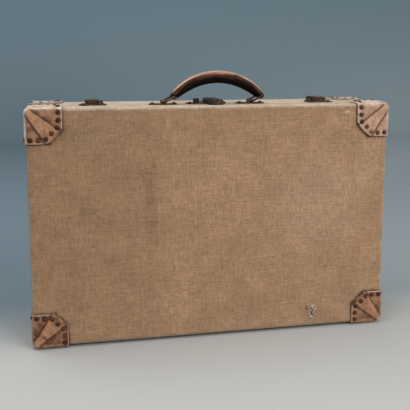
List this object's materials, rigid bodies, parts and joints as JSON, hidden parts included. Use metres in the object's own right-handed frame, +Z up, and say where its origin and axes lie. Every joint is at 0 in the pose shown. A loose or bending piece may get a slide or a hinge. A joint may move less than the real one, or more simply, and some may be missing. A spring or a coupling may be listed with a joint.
{
  "type": "suitcase",
  "caption": "Hard canvas-covered suitcase with leather corner caps, domed nails, an arched leather handle on wire rings, push latches, a lock and a hinged lid.",
  "frame": {"origin": "middle of the bounding box at the level of the foot nails' lowest points, on the floor under the seam", "axes": "+X along the case to the right as seen from the front half, +Y from the front half to the lid, +Z up towards the handle"},
  "size_m": [0.6562, 0.1712, 0.4814],
  "materials": {
    "canvas": "coarse worn canvas",
    "board": "raw board",
    "lining": "matte cloth",
    "corner_leather": "worn tan leather",
    "core_leather": "dark worn leather",
    "grip_leather": "polished worn leather",
    "plate_brass": "tarnished",
    "dark_brass": "dark tarnished",
    "steel": "dull"
  },
  "bodies": {
    "base": {"base_canvas": "canvas", "base_shell": "board", "base_lining": "lining", "dust_lip_top": "board", "dust_lip_left": "board", "dust_lip_right": "board", "base_corner_top_left": "corner_leather", "base_corner_top_right": "corner_leather", "base_corner_bottom_left": "corner_leather", "base_corner_bottom_right": "corner_leather", "latch_left_plate": "plate_brass", "latch_left_case": "dark_brass", "latch_left_spring": "steel", "latch_right_plate": "plate_brass", "latch_right_case": "dark_brass", "latch_right_spring": "steel", "lock_plate": "plate_brass", "lock_case": "dark_brass", "lock_spring": "steel", "handle_plate_left": "plate_brass", "handle_plate_right": "plate_brass", "hinge_left_base_leaf": "plate_brass", "hinge_left_pin": "steel", "hinge_right_base_leaf": "plate_brass", "hinge_right_pin": "steel"},
    "lid": {"lid_canvas": "canvas", "lid_shell": "board", "lid_lining": "lining", "lid_corner_top_left": "corner_leather", "lid_corner_top_right": "corner_leather", "lid_corner_bottom_left": "corner_leather", "lid_corner_bottom_right": "corner_leather", "latch_left_hasp_leaf": "plate_brass", "latch_left_hasp_pin": "steel", "latch_right_hasp_leaf": "plate_brass", "latch_right_hasp_pin": "steel", "lock_hasp_leaf": "plate_brass", "lock_hasp_pin": "steel", "hinge_left_lid_leaf": "plate_brass", "hinge_right_lid_leaf": "plate_brass"},
    "ring_left": {"handle_ring_left": "dark_brass"},
    "ring_right": {"handle_ring_right": "dark_brass"},
    "handle": {"handle_core": "core_leather", "handle_grip": "grip_leather"},
    "hasp_left": {"latch_left_hasp": "dark_brass"},
    "hasp_right": {"latch_right_hasp": "dark_brass"},
    "hasp_middle": {"lock_hasp": "dark_brass"},
    "slide_left": {"latch_left_slide_bolt": "dark_brass"},
    "slide_right": {"latch_right_slide_bolt": "dark_brass"},
    "slide_middle": {"lock_slide_bolt": "dark_brass"},
    "key_cam": {"lock_cam": "steel"}
  },
  "joints": [
    {"name": "lid_hinge", "type": "hinge", "parent": "base", "child": "lid", "pos_m": [0, 0, 0.0019], "axis": [-1, 0, 0], "range_deg": [0, 165]},
    {"name": "ring_left_swing", "type": "hinge", "parent": "base", "child": "ring_left", "pos_m": [-0.086, -0.03, 0.4261], "axis": [0, 1, 0], "range_deg": [-124, 0]},
    {"name": "ring_right_swing", "type": "hinge", "parent": "base", "child": "ring_right", "pos_m": [0.074, -0.03, 0.4261], "axis": [0, 1, 0], "range_deg": [-124, 0]},
    {"name": "handle_pivot", "type": "hinge", "parent": "ring_left", "child": "handle", "pos_m": [-0.06702, -0.03, 0.43619], "axis": [0, 1, 0], "range_deg": [0, 124]},
    {"name": "hasp_left_turn", "type": "hinge", "parent": "lid", "child": "hasp_left", "pos_m": [-0.21, 0.008, 0.4287], "axis": [-1, 0, 0], "range_deg": [0, 170]},
    {"name": "hasp_right_turn", "type": "hinge", "parent": "lid", "child": "hasp_right", "pos_m": [0.21, 0.008, 0.4287], "axis": [-1, 0, 0], "range_deg": [0, 170]},
    {"name": "hasp_middle_turn", "type": "hinge", "parent": "lid", "child": "hasp_middle", "pos_m": [0.006, 0.008, 0.4284], "axis": [-1, 0, 0], "range_deg": [0, 170]},
    {"name": "slide_left_push", "type": "slide", "parent": "base", "child": "slide_left", "axis": [1, 0, 0], "range_m": [0, 0.003], "stiffness_N_per_m": 300, "springref_m": -0.003, "deforming": ["latch_left_spring"]},
    {"name": "slide_right_push", "type": "slide", "parent": "base", "child": "slide_right", "axis": [-1, 0, 0], "range_m": [0, 0.003], "stiffness_N_per_m": 300, "springref_m": -0.003, "deforming": ["latch_right_spring"]},
    {"name": "slide_middle_push", "type": "slide", "parent": "base", "child": "slide_middle", "axis": [-1, 0, 0], "range_m": [0, 0.004], "stiffness_N_per_m": 300, "springref_m": -0.003, "deforming": ["lock_spring"]},
    {"name": "key_turn", "type": "hinge", "parent": "base", "child": "key_cam", "pos_m": [0.006, -0.05, 0.426], "axis": [0, 0, 1], "range_deg": [0, 90]}
  ],
  "couplings": [
    {"joint": "ring_right_swing", "follows": "ring_left_swing", "ratio": 1},
    {"joint": "handle_pivot", "follows": "ring_left_swing", "ratio": -1}
  ]
}
